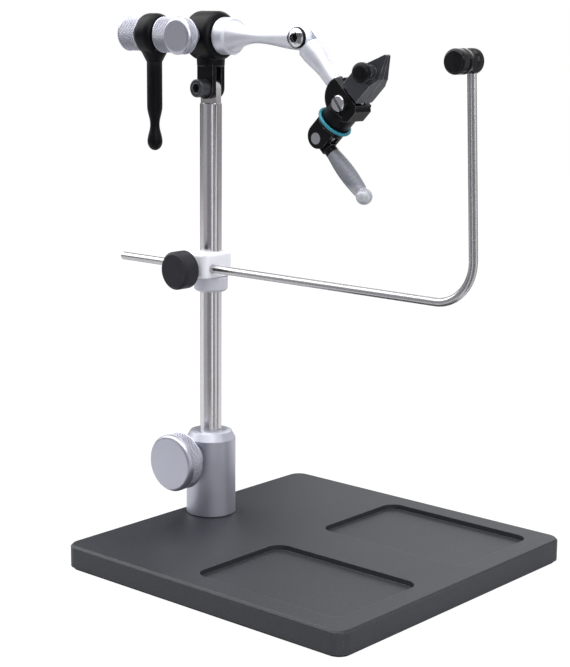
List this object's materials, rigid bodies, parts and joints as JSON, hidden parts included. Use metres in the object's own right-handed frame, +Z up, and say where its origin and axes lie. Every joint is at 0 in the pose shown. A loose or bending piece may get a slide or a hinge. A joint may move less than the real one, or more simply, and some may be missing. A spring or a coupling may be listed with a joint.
{
  "type": "fly tying vise",
  "caption": "Rotary fly tying vise: cam-operated jaws on a cranked arm and tilting head, on a stem in a square pedestal base with trays, plus a bent rod thread cradle.",
  "frame": {"origin": "centre of the rubber pad's underside, where the vise stands on the bench", "axes": "+X along the tyer's front edge towards the jaws, +Y away from the tyer, +Z up"},
  "size_m": [0.1978, 0.1524, 0.2341],
  "materials": {
    "powder_black": "satin powder coat",
    "pad_rubber": "matt rubber",
    "silver_anodised": "bead blasted, clear anodised",
    "black_anodised": "satin black anodised",
    "polished_steel": "polished stainless steel",
    "zinc_steel": "plain machined steel",
    "chrome_screw": "bright plated",
    "black_oxide": "black oxide",
    "knob_black": "matt black",
    "gloss_black": "glossy black",
    "teal_rubber": "smooth rubber",
    "bronze_bush": "sintered bronze"
  },
  "bodies": {
    "base": {"base_plate": "powder_black", "base_pad": "pad_rubber", "stem_socket": "silver_anodised", "socket_bolt": "zinc_steel"},
    "socket_knob": {"socket_knob": "silver_anodised", "socket_knob_screw": "zinc_steel"},
    "stem": {"stem": "polished_steel"},
    "head": {"head_housing": "black_anodised", "pivot_screw": "black_oxide", "shaft_bushings": "bronze_bush"},
    "lock_knob": {"lock_knob": "silver_anodised", "lock_knob_screw": "zinc_steel"},
    "rotor": {"rotary_shaft": "zinc_steel", "flange_ring": "silver_anodised", "crank_handle": "black_anodised", "upper_arm": "silver_anodised", "elbow_screw": "chrome_screw"},
    "drag_collar": {"shaft_collar": "silver_anodised"},
    "end_knob": {"end_knob": "silver_anodised"},
    "lower_arm": {"lower_arm": "silver_anodised"},
    "jaw_head": {"jaw_holder": "black_anodised", "jaw_lock_screw": "chrome_screw", "jaw_rear": "black_oxide", "jaw_adjust_screw": "zinc_steel", "jaw_guide_pin": "zinc_steel", "o_ring": "teal_rubber", "cam_pin": "zinc_steel"},
    "jaw_front": {"jaw_front": "black_oxide"},
    "adjust_knob": {"jaw_adjust_knob": "black_anodised"},
    "cam_lever": {"cam_head": "black_anodised", "cam_lever": "silver_anodised"},
    "push_rod": {"push_rod": "zinc_steel"},
    "height_collar": {"height_collar": "silver_anodised", "collar_set_screw": "black_oxide"},
    "clamp": {"cradle_clamp": "silver_anodised"},
    "cradle_knob": {"cradle_knob": "knob_black", "cradle_knob_screw": "zinc_steel"},
    "cradle": {"cradle_rod": "polished_steel", "cradle_spool": "gloss_black"}
  },
  "joints": [
    {"name": "stem_height", "type": "slide", "parent": "base", "child": "stem", "axis": [0, 0, 1], "range_m": [0, 0.015]},
    {"name": "socket_knob_turn", "type": "hinge", "parent": "base", "child": "socket_knob", "pos_m": [-0.0628, -0.0181, 0.0383], "axis": [0, -1, 0], "range_deg": [-720, 0]},
    {"name": "head_tilt", "type": "hinge", "parent": "stem", "child": "head", "pos_m": [-0.0628, 0, 0.2014], "axis": [0, 1, 0], "range_deg": [-35, 35]},
    {"name": "lock_knob_turn", "type": "hinge", "parent": "head", "child": "lock_knob", "pos_m": [-0.0628, -0.0157, 0.2236], "axis": [0, -1, 0], "range_deg": [-720, 0]},
    {"name": "head_rotation", "type": "hinge", "parent": "head", "child": "rotor", "pos_m": [-0.0628, 0, 0.2236], "axis": [1, 0, 0], "continuous": true},
    {"name": "drag_collar_turn", "type": "hinge", "parent": "rotor", "child": "drag_collar", "pos_m": [-0.0828, 0, 0.2236], "axis": [1, 0, 0], "range_deg": [-90, 90]},
    {"name": "end_knob_turn", "type": "hinge", "parent": "rotor", "child": "end_knob", "pos_m": [-0.1068, 0, 0.2236], "axis": [1, 0, 0], "range_deg": [-720, 0]},
    {"name": "elbow", "type": "hinge", "parent": "rotor", "child": "lower_arm", "pos_m": [-0.01056, 0, 0.2236], "axis": [0, 1, 0], "range_deg": [-45, 40]},
    {"name": "jaw_angle", "type": "hinge", "parent": "lower_arm", "child": "jaw_head", "pos_m": [0.01482, 0, 0.19822], "axis": [0, 1, 0], "range_deg": [-18, 18]},
    {"name": "cam_lever_swing", "type": "hinge", "parent": "jaw_head", "child": "cam_lever", "pos_m": [0.00014, 0, 0.18327], "axis": [0, 1, 0], "range_deg": [0, 95]},
    {"name": "push_rod_slide", "type": "slide", "parent": "jaw_head", "child": "push_rod", "axis": [-0.7009, 0, -0.7133], "range_m": [0, 0.0011]},
    {"name": "jaw_front_open", "type": "hinge", "parent": "jaw_head", "child": "jaw_front", "pos_m": [0.02713, 0, 0.21073], "axis": [0.7133, 0, -0.7009], "range_deg": [0, 2.2]},
    {"name": "adjust_knob_turn", "type": "hinge", "parent": "jaw_head", "child": "adjust_knob", "pos_m": [0.02713, 0, 0.21073], "axis": [0, -1, 0], "range_deg": [-360, 0]},
    {"name": "cradle_height", "type": "slide", "parent": "stem", "child": "height_collar", "axis": [0, 0, 1], "range_m": [-0.055, 0.02]},
    {"name": "cradle_swivel", "type": "hinge", "parent": "height_collar", "child": "clamp", "pos_m": [-0.0628, 0, 0.1237], "axis": [0, 0, 1], "range_deg": [-180, 180]},
    {"name": "cradle_knob_turn", "type": "hinge", "parent": "clamp", "child": "cradle_knob", "pos_m": [-0.0628, -0.0168, 0.1237], "axis": [0, -1, 0], "range_deg": [-720, 0]},
    {"name": "rod_slide", "type": "slide", "parent": "clamp", "child": "cradle", "axis": [1, 0, 0], "range_m": [-0.03, 0.035]}
  ],
  "couplings": [
    {"joint": "push_rod_slide", "follows": "cam_lever_swing", "m_per_rad": 0.00066336},
    {"joint": "jaw_front_open", "follows": "cam_lever_swing", "ratio": 0.023156}
  ]
}
